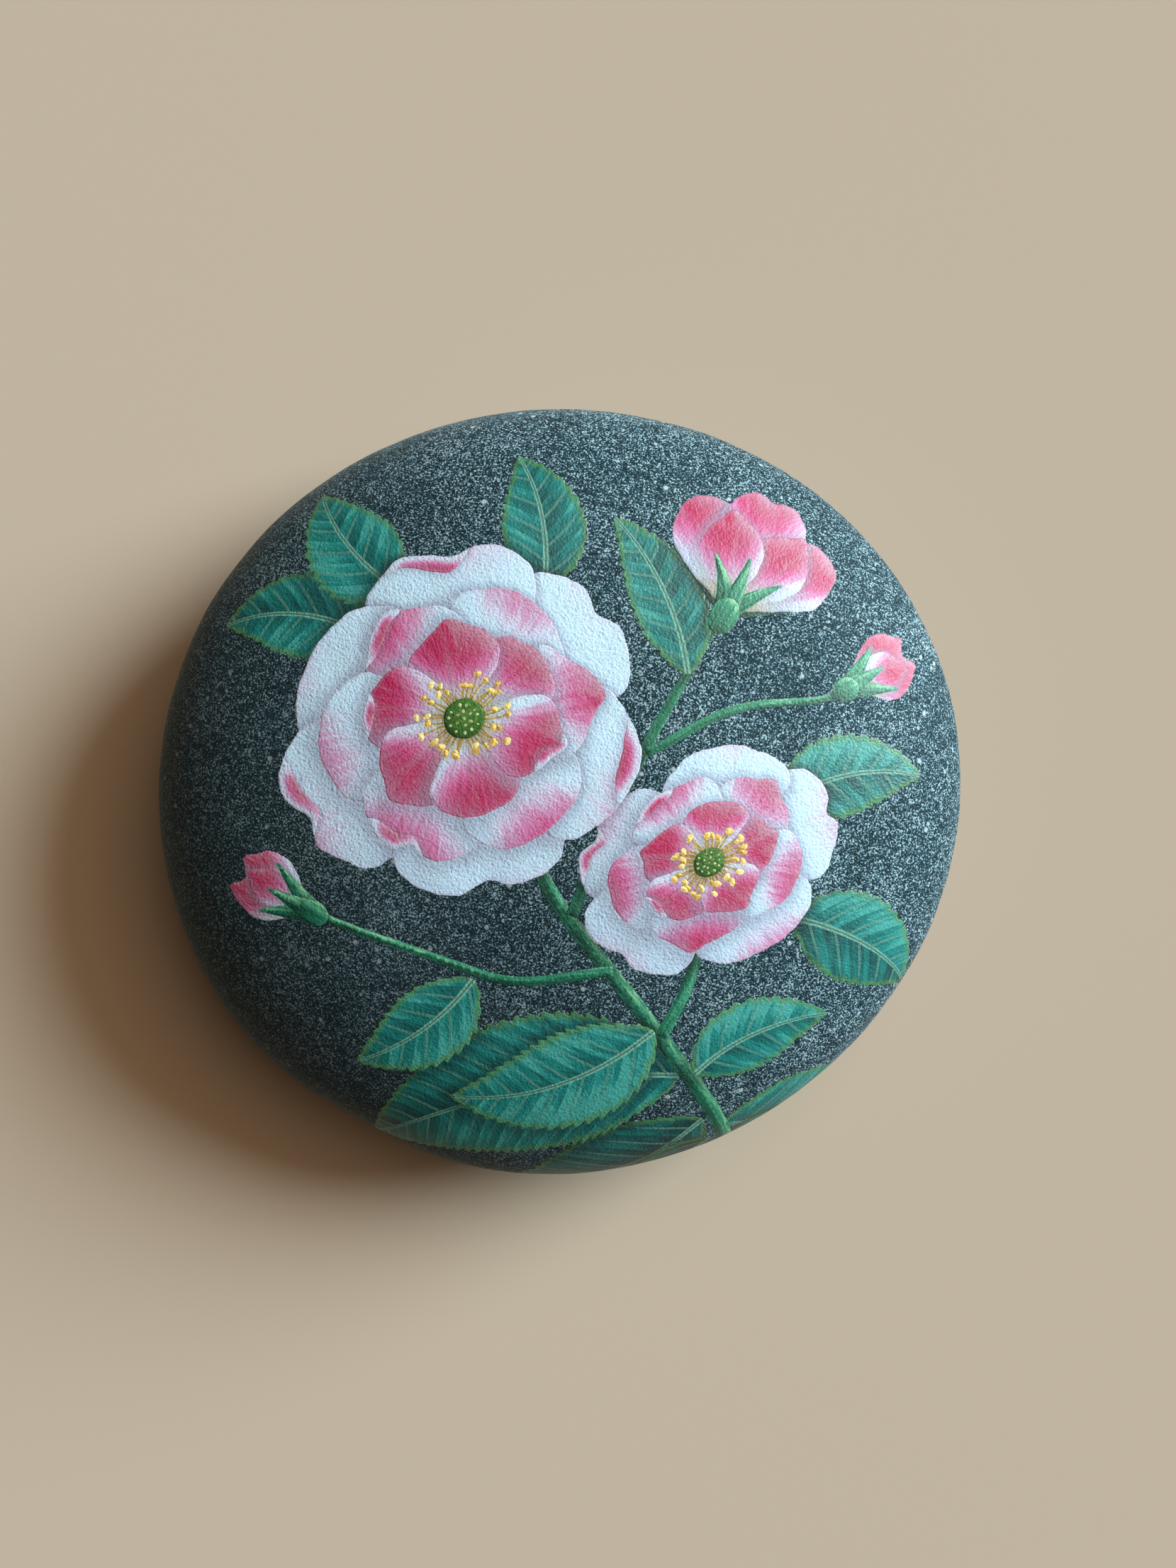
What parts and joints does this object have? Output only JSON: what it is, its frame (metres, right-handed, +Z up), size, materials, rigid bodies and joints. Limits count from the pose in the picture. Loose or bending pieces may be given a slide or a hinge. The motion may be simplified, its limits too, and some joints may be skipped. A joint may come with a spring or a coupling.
{
  "type": "painted stone",
  "caption": "Flat round river pebble, dark grey and fine-grained, with a painted flower spray on its upper side; a paperweight or ornament that rests on a table.",
  "frame": {"origin": "on the resting face, under the middle of the stone's box", "axes": "+Z up out of the painted side, +Y towards the top of the picture, +X to its right"},
  "size_m": [0.12, 0.1144, 0.0343],
  "materials": {
    "stone": "dull fine-grained natural stone with matt acrylic paint on its upper side"
  },
  "bodies": {
    "root": {"stone": "stone"}
  },
  "joints": []
}
